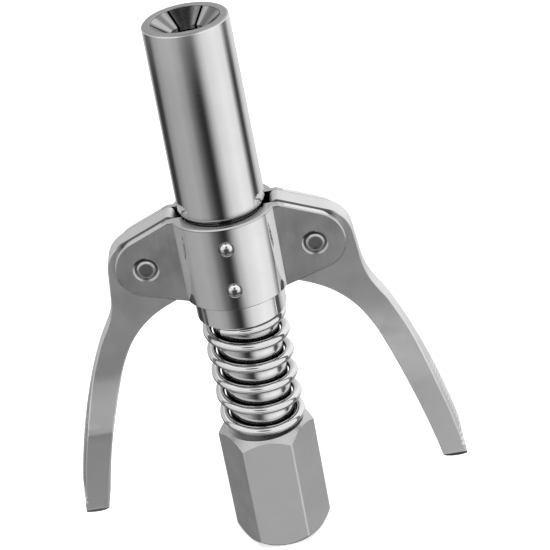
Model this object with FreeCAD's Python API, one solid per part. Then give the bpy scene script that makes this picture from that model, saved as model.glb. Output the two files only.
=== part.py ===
# Lock-on grease coupler with two squeeze levers, in millimetres.
# +Z runs up the axis from the inlet face (the origin) to the nose, +X to the right lever, -Y to the viewer.
# Squeezing the levers moves the bracket, the jaw carrier and the jaws down the stem, and the jaws spread.

import FreeCAD
import Part
import math
import os

from FreeCAD import Vector

# Cutting shapes reach this far past what they cut, and points this near each other count as one
overrun = 1.0
touching = 1e-3

# Heights of the stack, from the inlet face up
hex_length = 24.45
spring_length = 24.78
collar_height = 4.92
bracket_height = 16.40
sleeve_gap = 0.30
sleeve_length = 35.35

z_hex_top = hex_length
z_collar_bottom = z_hex_top + spring_length
z_bracket_bottom = z_collar_bottom + collar_height
z_bracket_top = z_bracket_bottom + bracket_height
z_sleeve_bottom = z_bracket_top + sleeve_gap
z_nose = z_sleeve_bottom + sleeve_length

# Clearances
slide_clearance = 0.05
loose_clearance = 0.30
seat_clearance = 0.06
toe_clearance = 0.45
dowel_slot_clearance = 0.075

# Release stroke: how far the bracket comes down when the levers are squeezed
release_travel = 3.10
jaw_taper = 0.20

# Hexagon adapter
hex_across_flats = 16.03
hex_end_chamfer = 1.75
hex_edge_bevel = 0.10
inlet_thread_radius = 4.35
inlet_thread_depth = 10.0
inlet_mouth_chamfer = 0.90
inlet_passage_radius = 2.0

# Stem
stem_radius = 6.10
stem_socket_depth = 8.0
stem_passage_radius = 2.2
stem_thread_radius = 6.75
stem_thread_length = 14.05
flange_radius = 7.30
gasket_thickness = 1.0
gasket_bore_radius = 3.0
gasket_rim_clearance = 0.15

# Nose sleeve
sleeve_lower_radius = 7.92
sleeve_nose_radius = 7.55
sleeve_lower_round = 0.70
nose_chamfer = 0.35
mouth_radius = 6.15
mouth_chamfer = 0.15
jaw_chamber_radius = 6.95

# Bracket, its ears and its collar
bracket_radius = 9.70
bracket_bore_clearance = 0.15
bracket_edge = 0.20
ear_front = 3.65
ear_thickness = 1.35
ear_radius = 5.55
ear_top_rise = 0.40
ear_edge = 0.22
ear_root = 1.00
pivot_x = 15.30
pivot_height = 7.70
collar_radius = 8.29
collar_spigot_radius = 7.20
collar_spigot_height = 2.55
collar_edge = 0.30

# Levers
lever_thickness = 4.40
grip_thickness = 6.40
lever_head_rise = 0.60
lever_edge = 0.25
toe_reach = 8.86
toe_top = 0.60
toe_gap = 0.10
nose_face = 6.85
nose_round = 1.30
nose_corner_round = 1.00
shoulder_forward = 0.95
shoulder_drop = 0.35
neck_lean = 6.4
neck_length = 5.80
waist_radius = 15.80
waist_turn = 25.0
grip_upper_radius = 66.5
grip_upper_turn = 11.8
grip_lower_radius = 144.0
heel_angle = 247.2
heel_length = 1.0
crook_radius = 18.8
crook_turn = 37.1
inner_upper_radius = 34.7
inner_upper_turn = 9.4
inner_lower_radius = 186.0
ramp_start = 21.15
ramp_end = 33.15
ramp_round = 30.0
lever_drop = 50.10
tip_bulge = 1.30
tip_round = 1.50
tip_nose = 2.30
tip_chamfer_height = 1.95
tip_chamfer_width = 1.75
tip_margin = 0.30
tip_relief_length = 6.80
tip_relief_angle = 6.8
crown_radius = 7.00
crown_inset = 0.05
crown_fade_radius = 110.0
crown_overrun = 3.0
serration_pitch = 1.10
serration_depth = 0.30
serration_width = 0.66
serration_floor_radius = 15.5
serration_count = 18
serration_margin = 2.40
serration_flare = 0.60

# Lever pins and bracket dowels
pin_radius = 1.70
pin_proud = 0.15
pin_end_bevel = 0.28
pin_dimple_radius = 1.25
pin_dimple_depth = 0.35
pin_recess_radius = 2.40
pin_recess_depth = 0.45
dowel_radius = 1.20
dowel_dome = 0.50
dowel_recess = 0.25
dowel_inner_radius = 2.60
upper_dowel_height = 12.38
lower_dowel_height = 4.06

# Main spring
wire_radius = 0.85
spring_coil_radius = 7.15
spring_closed_turns = 0.48
spring_turns = 5.63
spring_start_angle = 104.0
spring_closed_pitch = 1.73

# Jaws, measured down from the nose face
jaw_count = 6
jaw_slit = 0.45
jaw_front_drop = 0.20
jaw_front_radius = 5.95
jaw_wedge_length = 1.40
grip_radius = 2.95
funnel_drop = 2.40
grip_land = 0.70
pocket_radius = 5.10
pocket_roof = 0.70
jaw_tail_drop = 14.50
hook_height = 1.30
hook_radius = 4.05

# Jaw carrier
carrier_radius = 4.60
carrier_neck_radius = 4.95
carrier_groove_radius = 3.95
carrier_flange_radius = 6.00
carrier_flange_height = 2.80
carrier_top_drop = 9.90
carrier_tail_drop = 58.30
carrier_passage_radius = 1.60
groove_clearance = 0.20
piston_bore_drop = 20.10
o_ring_radius = 0.60
ring_side_clearance = 0.10
upper_ring_drop = 33.70
lower_ring_drop = 56.60

# Seal holder, nose seal and check valve, measured down from the nose face
holder_radius = 3.05
holder_head_radius = 4.40
holder_head_height = 1.80
holder_front_drop = 3.80
holder_length = 9.60
seal_radius = 3.30
seal_depth = 1.50
seal_proud = 0.35
seal_dish = 0.35
seal_bore_radius = 0.90
check_chamber_radius = 1.75
check_ball_radius = 1.50
check_seat_height = 1.20
check_seat_bore = 0.90
check_seat_radius = 2.10
ball_gap = 0.02
check_chamber_length = 5.00
check_spring_wire = 0.13
check_spring_coil = 1.20
check_spring_turns = 4.0
seal_spring_wire = 0.30
seal_spring_coil = 2.40
seal_spring_turns = 4.5
small_closed_turns = 0.75
small_closed_gap = 0.05
seal_rim = 0.50
holder_ring_radius = 0.35
holder_ring_drop = 2.00

z_pivot = z_bracket_bottom + pivot_height
z_toe_top = z_pivot + toe_top
z_lever_high = z_pivot + 2 * ear_radius
z_lever_low = z_pivot - lever_drop - tip_bulge - tip_margin
z_flange_bottom = z_toe_top + toe_gap
z_stem_bottom = z_hex_top - stem_socket_depth
z_upper_dowel = z_bracket_bottom + upper_dowel_height
z_lower_dowel = z_bracket_bottom + lower_dowel_height
bracket_bore_radius = flange_radius + bracket_bore_clearance
slide_bore_radius = stem_radius + slide_clearance
stem_bore_radius = carrier_radius + slide_clearance
slot_half = ear_front - ear_thickness
piston_bore_radius = holder_radius + slide_clearance
z_check_seat = z_nose - holder_front_drop - holder_length + check_seat_height
z_check_chamber_top = z_check_seat + check_chamber_length
z_ball = z_check_seat + math.sqrt(check_ball_radius ** 2 - check_seat_bore ** 2) + ball_gap
axis_z = Vector(0, 0, 1)


def rod(radius, low, high):
    """Upright cylinder on the axis."""
    return Part.makeCylinder(radius, high - low, Vector(0, 0, low))


def tube(outer, inner, low, high):
    """Upright tube on the axis."""
    return rod(outer, low, high).cut(rod(inner, low, high))


def turned(points):
    """Solid of revolution about Z from (radius, height) corners."""
    corners = [Vector(radius, 0, height) for radius, height in points]
    face = Part.Face(Part.makePolygon(corners + corners[:1]))
    return face.revolve(Vector(0, 0, 0), axis_z, 360)


def cross_rod(radius, x, z, near, far):
    """Cylinder along Y between two y values."""
    return Part.makeCylinder(radius, far - near, Vector(x, near, z), Vector(0, 1, 0))


def cross_cone(near_radius, far_radius, x, z, near, far):
    """Cone along Y between two y values."""
    return Part.makeCone(near_radius, far_radius, far - near, Vector(x, near, z), Vector(0, 1, 0))


def block(low, high):
    """Box between two corners."""
    size = [b - a for a, b in zip(low, high)]
    return Part.makeBox(size[0], size[1], size[2], Vector(*low))


def torus(ring_radius, wire, height):
    """Ring of round section on the axis."""
    return Part.makeTorus(ring_radius, wire, Vector(0, 0, height))


def mirrored(shape):
    """The same piece on the other side of the YZ plane."""
    return shape.mirror(Vector(0, 0, 0), Vector(1, 0, 0))


def back_copy(shape):
    """The same piece turned half a turn about the axis."""
    copy = shape.copy()
    copy.rotate(Vector(0, 0, 0), axis_z, 180)
    return copy


def line(start, end):
    """Straight edge between two (x, z) points of the lever plane."""
    return Part.LineSegment(Vector(start[0], 0, start[1]), Vector(end[0], 0, end[1])).toShape()


def arc(start, middle, end):
    """Arc through three (x, z) points of the lever plane."""
    ends = [Vector(point[0], 0, point[1]) for point in (start, middle, end)]
    return Part.Arc(*ends).toShape()


def rounded_outline(corners):
    """Closed wire through (x, z, radius) corners, each rounded by its radius."""
    edges = []
    joints = []
    count = len(corners)
    for index in range(count):
        x, z, radius = corners[index]
        here = Vector(x, 0, z)
        before = Vector(corners[index - 1][0], 0, corners[index - 1][1])
        after = Vector(corners[(index + 1) % count][0], 0, corners[(index + 1) % count][1])
        back = (before - here).normalize()
        ahead = (after - here).normalize()
        if radius == 0:
            joints.append((here, here))
            continue
        half = back.getAngle(ahead) / 2
        reach = radius / math.tan(half)
        bisector = (back + ahead).normalize()
        middle = here + bisector * (radius / math.sin(half) - radius)
        first = here + back * reach
        last = here + ahead * reach
        edges.append(Part.Arc(first, middle, last).toShape())
        joints.append((first, last))
    for index in range(count):
        start = joints[index][1]
        end = joints[(index + 1) % count][0]
        if start.distanceToPoint(end) > touching:
            edges.append(Part.LineSegment(start, end).toShape())
    return Part.Wire(Part.__sortEdges__(edges))


def plate(wire, near, far):
    """Plate from an outline in the XZ plane, between two y values."""
    solid = Part.Face(wire).extrude(Vector(0, far - near, 0))
    solid.translate(Vector(0, near, 0))
    return solid


def tangent_point(point, centre, radius, side):
    """Where the line from a point touches a circle, on the chosen side."""
    gap_x = point[0] - centre[0]
    gap_z = point[1] - centre[1]
    distance = math.hypot(gap_x, gap_z)
    angle = math.atan2(gap_z, gap_x) + side * math.acos(radius / distance)
    return centre[0] + radius * math.cos(angle), centre[1] + radius * math.sin(angle)


def on_circle(centre, radius, degrees):
    """Point of a circle in the lever plane."""
    angle = math.radians(degrees)
    return centre[0] + radius * math.cos(angle), centre[1] + radius * math.sin(angle)


# Angle of the ears' upper edge, which the top of each lever follows
bracket_corner_x = math.sqrt(bracket_radius ** 2 - ear_front ** 2)
ear_top_touch = tangent_point((bracket_corner_x, z_bracket_top), (pivot_x, z_pivot), ear_radius, -1)
ear_low_touch = tangent_point((bracket_corner_x, z_bracket_bottom), (pivot_x, z_pivot), ear_radius, 1)
ear_top_slope = math.atan2(z_bracket_top - ear_top_touch[1], ear_top_touch[0] - bracket_corner_x)


def make_hex_adapter():
    """Hexagon with a chamfer at both ends, a thread bore below and a socket for the stem above."""
    corner_radius = hex_across_flats / math.sqrt(3)
    corners = []
    for index in range(6):
        angle = math.radians(60 * index)
        corners.append(Vector(corner_radius * math.cos(angle), corner_radius * math.sin(angle), 0))
    body = Part.Face(Part.makePolygon(corners + corners[:1])).extrude(Vector(0, 0, hex_length))
    bevel_rod = rod(corner_radius - hex_edge_bevel, 0, hex_length)
    end_radius = corner_radius - hex_end_chamfer
    envelope = turned([
        (0, 0),
        (end_radius, 0),
        (corner_radius, hex_end_chamfer),
        (corner_radius, hex_length - hex_end_chamfer),
        (end_radius, hex_length),
        (0, hex_length),
    ])
    body = body.common(envelope).common(bevel_rod)
    floor = z_stem_bottom - gasket_thickness
    body = body.cut(rod(stem_radius, floor, hex_length))
    body = body.cut(rod(inlet_passage_radius, 0, hex_length))
    body = body.cut(rod(inlet_thread_radius, 0, inlet_thread_depth))
    mouth_cone = Part.makeCone(
        inlet_thread_radius + inlet_mouth_chamfer, inlet_thread_radius, inlet_mouth_chamfer
    )
    return body.cut(mouth_cone)


def make_inlet_gasket():
    """Flat washer clamped under the stem."""
    floor = z_stem_bottom - gasket_thickness
    return tube(stem_radius - gasket_rim_clearance, gasket_bore_radius, floor, z_stem_bottom)


def make_stem():
    """Fixed tube from the adapter to the sleeve, with a flange and two slots for the dowels."""
    z_top = z_sleeve_bottom + stem_thread_length
    body = rod(stem_radius, z_stem_bottom, z_top)
    body = body.fuse(rod(flange_radius, z_flange_bottom, z_sleeve_bottom))
    body = body.fuse(rod(stem_thread_radius, z_sleeve_bottom, z_top))
    carrier_tail = z_nose - carrier_tail_drop
    bore_floor = carrier_tail - release_travel - loose_clearance
    body = body.cut(rod(stem_bore_radius, bore_floor, z_top))
    body = body.cut(rod(stem_passage_radius, z_stem_bottom, z_top))
    slot_width = dowel_radius + dowel_slot_clearance
    slot_top = z_upper_dowel + slot_width
    slot_bottom = z_lower_dowel - release_travel - slot_width
    slot_low = (-slot_width, -flange_radius - overrun, slot_bottom)
    slot_high = (slot_width, flange_radius + overrun, slot_top)
    return body.cut(block(slot_low, slot_high)).removeSplitter()


def make_nose_sleeve():
    """Outer tube, slightly tapered, whose bore narrows at the nose to wedge the jaws shut."""
    throat_radius = jaw_front_radius + seat_clearance
    throat_drop = jaw_front_drop
    cone_length = (jaw_chamber_radius - throat_radius) / jaw_taper
    thread_top = z_sleeve_bottom + stem_thread_length
    body = turned([
        (stem_thread_radius, z_sleeve_bottom),
        (sleeve_lower_radius, z_sleeve_bottom),
        (sleeve_nose_radius, z_nose - nose_chamfer),
        (sleeve_nose_radius - nose_chamfer, z_nose),
        (mouth_radius, z_nose),
        (throat_radius, z_nose - mouth_chamfer),
        (throat_radius, z_nose - throat_drop),
        (jaw_chamber_radius, z_nose - throat_drop - cone_length),
        (jaw_chamber_radius, thread_top),
        (stem_thread_radius, thread_top),
    ])
    lower_edges = []
    for edge in body.Edges:
        ring = edge.Curve
        if not hasattr(ring, "Radius"):
            continue
        at_bottom = abs(edge.CenterOfMass.z - z_sleeve_bottom) < touching
        if at_bottom and abs(ring.Radius - sleeve_lower_radius) < touching:
            lower_edges.append(edge)
    return body.makeFillet(sleeve_lower_round, lower_edges)


def wound_wire(low, high, radius, wire, turns, closed_turns, closed_pitch, start_angle):
    """Round wire wound right-handed between two heights; its end turns lie closer than the others."""
    rise = high - low - 2 * wire
    active_pitch = (rise - 2 * closed_turns * closed_pitch) / (turns - 2 * closed_turns)
    steps_per_turn = 20
    easing_turns = 0.25
    steps = int(round(turns * steps_per_turn))
    pitches = []
    for step in range(steps):
        turn = (step + 0.5) / steps_per_turn
        inward = min(turn, turns - turn) - closed_turns
        share = min(1.0, max(0.0, (inward + easing_turns) / (2 * easing_turns)))
        pitches.append(closed_pitch + share * (active_pitch - closed_pitch))
    scale = rise / sum(pitches)
    height = low + wire
    points = []
    for step in range(steps + 1):
        angle = math.radians(start_angle + 360 * step / steps_per_turn)
        points.append(Vector(radius * math.cos(angle), radius * math.sin(angle), height))
        if step < steps:
            height += pitches[step] * scale
    spine = Part.BSplineCurve()
    spine.interpolate(points)
    start = spine.value(spine.FirstParameter)
    heading = spine.tangent(spine.FirstParameter)[0]
    section = Part.Wire(Part.Circle(start, heading, wire).toShape())
    return Part.Wire(spine.toShape()).makePipeShell([section], True, True)


def make_main_spring():
    """Spring between the adapter and the collar, its end turns closed up."""
    return wound_wire(
        z_hex_top, z_hex_top + spring_length, spring_coil_radius, wire_radius,
        spring_turns, spring_closed_turns, spring_closed_pitch, spring_start_angle,
    )


def ear_outline():
    """Outline of one ear: a straight top edge, a shoulder, and round the pivot to the lower edge."""
    inner_x = bracket_bore_radius - ear_root
    across = math.sin(ear_top_slope)
    up = math.cos(ear_top_slope)
    distance = ear_radius + ear_top_rise
    start = (pivot_x + (distance - (z_bracket_top - z_pivot) * up) / across, z_bracket_top)
    shoulder_radius = (distance - ear_radius * across) / (1 - across)
    shoulder = (pivot_x + ear_radius - shoulder_radius, z_pivot)
    top_turn = 90 - math.degrees(ear_top_slope)
    top_touch = on_circle(shoulder, shoulder_radius, top_turn)
    low_turn = math.degrees(math.atan2(ear_low_touch[1] - z_pivot, ear_low_touch[0] - pivot_x))
    outer = (pivot_x + ear_radius, z_pivot)
    edges = [
        line((inner_x, z_bracket_top), start),
        line(start, top_touch),
        arc(top_touch, on_circle(shoulder, shoulder_radius, top_turn / 2), outer),
        arc(outer, on_circle((pivot_x, z_pivot), ear_radius, low_turn / 2), ear_low_touch),
        line(ear_low_touch, (bracket_corner_x, z_bracket_bottom)),
        line((bracket_corner_x, z_bracket_bottom), (inner_x, z_bracket_bottom)),
        line((inner_x, z_bracket_bottom), (inner_x, z_bracket_top)),
    ]
    return Part.Wire(edges)


def make_ear():
    """Front plate of the right pair of ears, with a small bevel round its outer face."""
    ear = plate(ear_outline(), -ear_front, -ear_front + ear_thickness)
    rim = []
    for edge in ear.Edges:
        on_face = all(abs(vertex.Point.y + ear_front) < touching for vertex in edge.Vertexes)
        if on_face and edge.BoundBox.XMax > bracket_corner_x + touching:
            rim.append(edge)
    return ear.makeChamfer(ear_edge, rim)


def make_lever_bracket():
    """Barrel with two pairs of ears, slotted at both sides for the levers."""
    barrel = turned([
        (0, z_bracket_bottom),
        (bracket_radius - bracket_edge, z_bracket_bottom),
        (bracket_radius, z_bracket_bottom + bracket_edge),
        (bracket_radius, z_bracket_top - bracket_edge),
        (bracket_radius - bracket_edge, z_bracket_top),
        (0, z_bracket_top),
    ])
    ear = make_ear()
    body = barrel
    for piece in (ear, mirrored(ear), back_copy(ear), mirrored(back_copy(ear))):
        body = body.fuse(piece)
    bore_floor = z_flange_bottom - loose_clearance
    body = body.cut(rod(bracket_bore_radius, bore_floor, z_bracket_top))
    body = body.cut(rod(slide_bore_radius, z_bracket_bottom, z_bracket_top))
    spigot_top = z_bracket_bottom + collar_spigot_height
    body = body.cut(rod(collar_spigot_radius, z_bracket_bottom, spigot_top))
    reach = toe_reach + toe_clearance
    for side in (-1, 1):
        body = body.cut(cross_rod(reach, side * pivot_x, z_pivot, -slot_half, slot_half))
        near = min(side * (bracket_bore_radius - ear_root), side * pivot_x)
        far = max(side * (bracket_bore_radius - ear_root), side * pivot_x)
        body = body.cut(block((near, -slot_half, z_pivot), (far, slot_half, z_bracket_top + overrun)))
        body = body.cut(cross_rod(pin_radius, side * pivot_x, z_pivot, -ear_front, ear_front))
        body = body.cut(cross_cone(
            pin_recess_radius, pin_radius, side * pivot_x, z_pivot,
            -ear_front, -ear_front + pin_recess_depth,
        ))
        body = body.cut(cross_cone(
            pin_radius, pin_recess_radius, side * pivot_x, z_pivot,
            ear_front - pin_recess_depth, ear_front,
        ))
    recess_radius = dowel_radius + dowel_recess
    for height in (z_upper_dowel, z_lower_dowel):
        body = body.cut(cross_rod(dowel_radius, 0, height, -bracket_radius, bracket_radius))
        body = body.cut(cross_cone(
            recess_radius, dowel_radius, 0, height, -bracket_radius, -bracket_radius + dowel_recess
        ))
        body = body.cut(cross_cone(
            dowel_radius, recess_radius, 0, height, bracket_radius - dowel_recess, bracket_radius
        ))
    return body.removeSplitter()


def make_spring_collar():
    """Ring pressed into the bracket from below, the upper seat of the main spring."""
    return turned([
        (slide_bore_radius, z_collar_bottom),
        (collar_radius - collar_edge, z_collar_bottom),
        (collar_radius, z_collar_bottom + collar_edge),
        (collar_radius, z_bracket_bottom),
        (collar_spigot_radius, z_bracket_bottom),
        (collar_spigot_radius, z_bracket_bottom + collar_spigot_height),
        (slide_bore_radius, z_bracket_bottom + collar_spigot_height),
    ])


def make_dowel(height):
    """Front dowel with a domed outer end, pressed through the bracket into the carrier."""
    face = bracket_radius - dowel_recess
    shank = cross_rod(dowel_radius, 0, height, -face, -dowel_inner_radius)
    dome_height = dowel_dome + dowel_recess
    ball_radius = (dowel_radius ** 2 + dome_height ** 2) / (2 * dome_height)
    ball = Part.makeSphere(ball_radius, Vector(0, -face - dome_height + ball_radius, height))
    cap = ball.common(cross_rod(dowel_radius, 0, height, -face - dome_height - overrun, -face))
    return shank.fuse(cap).removeSplitter()


def near_point(edge, x, z):
    """Whether an edge runs along Y through a point of the lever plane."""
    middle = edge.CenterOfMass
    box = edge.BoundBox
    thin = box.XLength < touching and box.ZLength < touching
    return thin and math.hypot(middle.x - x, middle.z - z) < touching


def from_pivot(point):
    """Point given outward and up from the right pivot, in the part's frame."""
    return Vector(pivot_x + point[0], 0, z_pivot + point[1])


def outward_at(heading):
    """Unit vector square to a heading; a heading is in degrees from straight down, outward positive."""
    angle = math.radians(heading)
    return Vector(math.cos(angle), 0, math.sin(angle))


def forward_at(heading):
    """Unit vector along a heading."""
    angle = math.radians(heading)
    return Vector(math.sin(angle), 0, -math.cos(angle))


def bend(start, heading, radius, turn):
    """Arc from a point at a heading, outward for a positive turn; gives its edge, end and heading."""
    side = math.copysign(1, turn)
    centre = start + outward_at(heading) * (side * radius)
    middle = centre - outward_at(heading + turn / 2) * (side * radius)
    end = centre - outward_at(heading + turn) * (side * radius)
    return Part.Arc(start, middle, end).toShape(), end, heading + turn


def turn_to_height(start, heading, radius, height):
    """How far an inward bend turns before it comes down to a height."""
    drop = (start.z - height) / radius
    return math.degrees(math.asin(math.sin(math.radians(heading)) - drop)) - heading


def shoulder_circle():
    """Centre and radius of the shoulder, which touches the top edge of the lever."""
    normal = Vector(math.sin(ear_top_slope), 0, math.cos(ear_top_slope))
    centre = from_pivot((shoulder_forward, -shoulder_drop))
    radius = ear_radius + lever_head_rise - normal.dot(centre - from_pivot((0, 0)))
    return centre, radius, normal


def outer_bends():
    """Outer edge of the lever from the shoulder to the tip, and where its lowest bend starts."""
    centre, radius, normal = shoulder_circle()
    neck_top = centre + outward_at(neck_lean) * radius
    neck_end = neck_top + forward_at(neck_lean) * neck_length
    waist, waist_end, heading = bend(neck_end, neck_lean, waist_radius, waist_turn)
    upper, grip_start, heading = bend(waist_end, heading, grip_upper_radius, -grip_upper_turn)
    turn = turn_to_height(grip_start, heading, grip_lower_radius, z_pivot - lever_drop)
    lower = bend(grip_start, heading, grip_lower_radius, turn)[0]
    neck = Part.LineSegment(neck_top, neck_end).toShape()
    return [neck, waist, upper, lower], grip_start, heading, turn


def inner_bends():
    """Inner edge of the lever from the heel to the tip."""
    heel = from_pivot(on_circle((0, 0), toe_reach, heel_angle))
    heading = heel_angle - 180
    heel_end = heel + forward_at(heading) * heel_length
    crook, crook_end, heading = bend(heel_end, heading, crook_radius, -crook_turn)
    upper, grip_start, heading = bend(crook_end, heading, inner_upper_radius, -inner_upper_turn)
    turn = turn_to_height(grip_start, heading, inner_lower_radius, z_pivot - lever_drop)
    lower = bend(grip_start, heading, inner_lower_radius, turn)[0]
    return [Part.LineSegment(heel, heel_end).toShape(), crook, upper, lower]


def lever_side():
    """Side outline of the right lever: toe, nose, top, shoulder, neck, grip and heel."""
    centre, radius, normal = shoulder_circle()
    along = Vector(-normal.z, 0, normal.x)
    top_touch = centre + normal * radius
    nose_x = pivot_x - nose_face
    nose_corner = top_touch + along * ((nose_x - top_touch.x) / along.x)
    toe_tip = from_pivot((-math.sqrt(toe_reach ** 2 - toe_top ** 2), toe_top))
    toe_root = Vector(nose_x, 0, z_toe_top)
    outside = outer_bends()[0]
    inside = inner_bends()
    neck_top = outside[0].Vertexes[0].Point
    tip_outer = outside[-1].Vertexes[-1].Point
    tip_inner = inside[-1].Vertexes[-1].Point
    tip_middle = (tip_outer + tip_inner) * 0.5 - axis_z * tip_bulge
    heel = inside[0].Vertexes[0].Point
    shoulder_middle = centre + outward_at((90 - math.degrees(ear_top_slope) + neck_lean) / 2) * radius
    toe_middle = from_pivot(on_circle((0, 0), toe_reach, (heel_angle + 180) / 2))
    edges = [
        Part.LineSegment(toe_tip, toe_root).toShape(),
        Part.LineSegment(toe_root, nose_corner).toShape(),
        Part.LineSegment(nose_corner, top_touch).toShape(),
        Part.Arc(top_touch, shoulder_middle, neck_top).toShape(),
        Part.Arc(tip_outer, tip_middle, tip_inner).toShape(),
        Part.Arc(heel, toe_middle, toe_tip).toShape(),
    ]
    outline = Part.Wire(Part.__sortEdges__(edges + outside + inside))
    half = grip_thickness / 2
    side = plate(outline, -half, half)
    nose = [edge for edge in side.Edges if near_point(edge, nose_corner.x, nose_corner.z)]
    side = side.makeFillet(nose_round, nose)
    tips = [
        edge for edge in side.Edges
        if near_point(edge, tip_outer.x, tip_outer.z) or near_point(edge, tip_inner.x, tip_inner.z)
    ]
    return side.makeFillet(tip_round, tips)


def seen_from_side(right_half):
    """Block that reaches across the lever, from half of an even outline of (y, z, radius) corners."""
    left_half = [(-y, z, radius) for y, z, radius in reversed(right_half)]
    width = pivot_x + lever_drop
    solid = plate(rounded_outline(right_half + left_half), -width, 0)
    solid.rotate(Vector(0, 0, 0), axis_z, 90)
    return solid


def lever_front():
    """Outline seen from the side of the tool: thin between the ears, wider along the grip."""
    thin = lever_thickness / 2
    thick = grip_thickness / 2
    return seen_from_side([
        (thin, z_lever_high, 0),
        (thin, z_pivot - ramp_start, ramp_round),
        (thick, z_pivot - ramp_end, ramp_round),
        (thick, z_lever_low, tip_nose),
    ])


def lever_tip():
    """Outline seen from the side of the tool, with the chamfers at the tip."""
    thick = grip_thickness / 2
    slope = tip_chamfer_height / tip_chamfer_width
    return seen_from_side([
        (thick + overrun, z_lever_high, 0),
        (thick + overrun, z_lever_low + tip_chamfer_height + overrun * slope, 0),
        (thick - tip_chamfer_width, z_lever_low, 0),
    ])


def crown_cutters():
    """Everything outside the grip's rounded outer face; the upper one runs out along the neck."""
    bends, grip_start, heading, turn = outer_bends()
    outward = outward_at(heading)
    crest = grip_start - outward * crown_inset
    half = grip_thickness / 2 + overrun
    fall = crown_radius - math.sqrt(crown_radius ** 2 - half ** 2)
    low = [crest + Vector(0, side * half, 0) - outward * fall for side in (-1, 1)]
    high = [crest + Vector(0, side * half, 0) + outward * overrun for side in (-1, 1)]
    section = Part.Face(Part.Wire([
        Part.Arc(low[0], crest, low[1]).toShape(),
        Part.LineSegment(low[1], high[1]).toShape(),
        Part.LineSegment(high[1], high[0]).toShape(),
        Part.LineSegment(high[0], low[0]).toShape(),
    ]))
    past_tip = math.degrees(crown_overrun / grip_lower_radius)
    fade = math.degrees(bends[2].Length / crown_fade_radius)
    lower_centre = grip_start - outward * grip_lower_radius
    upper_centre = grip_start - outward * crown_fade_radius
    across = Vector(0, 1, 0)
    lower = section.revolve(lower_centre, across, past_tip - turn)
    upper = section.revolve(upper_centre, across, -fade)
    return lower, upper


def tip_relief():
    """What comes off the crest of the grip's outer face, which leans inward near the tip."""
    bends, grip_start, heading, turn = outer_bends()
    centre = grip_start - outward_at(heading) * grip_lower_radius
    here = heading + turn + math.degrees(tip_relief_length / grip_lower_radius)
    start = centre + outward_at(here) * (grip_lower_radius - crown_inset)
    ahead = forward_at(here - tip_relief_angle) * (tip_relief_length + crown_overrun)
    outward = outward_at(here - tip_relief_angle) * (2 * overrun)
    corners = [start, start + ahead, start + ahead + outward, start + outward]
    half = grip_thickness / 2 + overrun
    return plate(Part.makePolygon(corners + corners[:1]), -half, half)


def serrations():
    """Grooves across the rounded outer face of the grip, which run out before its edges."""
    bends, grip_start, heading, turn = outer_bends()
    centre = grip_start - outward_at(heading) * grip_lower_radius
    half = serration_width / 2 * (1 + serration_flare / serration_depth)
    groove = turned([
        (serration_floor_radius - serration_depth, 0),
        (serration_floor_radius + serration_flare, -half),
        (serration_floor_radius + serration_flare, half),
    ])
    grooves = []
    for index in range(serration_count):
        back = serration_margin + index * serration_pitch
        sunk = max(0.0, tip_relief_length - back) * math.tan(math.radians(tip_relief_angle))
        here = heading + turn + math.degrees(back / grip_lower_radius)
        copy = groove.copy()
        copy.rotate(Vector(0, 0, 0), Vector(0, 1, 0), -here)
        crest = centre + outward_at(here) * (grip_lower_radius - crown_inset - sunk)
        copy.translate(crest - outward_at(here) * serration_floor_radius)
        grooves.append(copy)
    return grooves


def lever_rim(body):
    """Edges between a lever's flat faces and its narrow sides."""
    rim = []
    for edge in body.Edges:
        box = edge.BoundBox
        on_face = min(abs(point.y) for point in edge.discretize(Number=9)) > lever_thickness / 2 - touching
        level = box.YLength < touching and box.ZLength < touching
        at_toe = abs(box.ZMax - z_toe_top) < touching
        if on_face and (at_toe or not level):
            rim.append(edge)
    return rim


def nose_corners():
    """What comes off the two upright corners of a lever's nose, above the toe."""
    nose_x = pivot_x - nose_face
    corners = []
    for side in (-1, 1):
        inside = side * (lever_thickness / 2 - nose_corner_round)
        outside = side * (lever_thickness / 2 + overrun)
        low = (nose_x - overrun, min(inside, outside), z_toe_top)
        high = (nose_x + nose_corner_round, max(inside, outside), z_lever_high)
        centre = Vector(nose_x + nose_corner_round, inside, z_toe_top)
        post = Part.makeCylinder(nose_corner_round, z_lever_high - z_toe_top, centre)
        corners.append(block(low, high).cut(post))
    return corners


def make_lever():
    """Right lever: a forged plate that thickens into a grip with a rounded, serrated outer face."""
    body = lever_side().common(lever_front())
    for cutter in crown_cutters():
        body = body.cut(cutter)
    body = body.makeFillet(lever_edge, lever_rim(body)).common(lever_tip())
    for cutter in (*nose_corners(), tip_relief()):
        body = body.cut(cutter)
    half = grip_thickness / 2
    body = body.cut(cross_rod(pin_radius + slide_clearance, pivot_x, z_pivot, -half, half))
    for groove in serrations():
        body = body.cut(groove)
    return body


def make_lever_pin():
    """Right lever pin, proud of the ears, with a bevelled rim and a shallow dimple at each end."""
    reach = ear_front + pin_proud
    pin = cross_rod(pin_radius, pivot_x, z_pivot, -reach, reach)
    rims = [edge for edge in pin.Edges if edge.BoundBox.YLength < touching]
    pin = pin.makeChamfer(pin_end_bevel, rims)
    for near, far in ((-reach, -reach + pin_dimple_depth), (reach - pin_dimple_depth, reach)):
        pin = pin.cut(cross_rod(pin_dimple_radius, pivot_x, z_pivot, near, far))
    return pin


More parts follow.
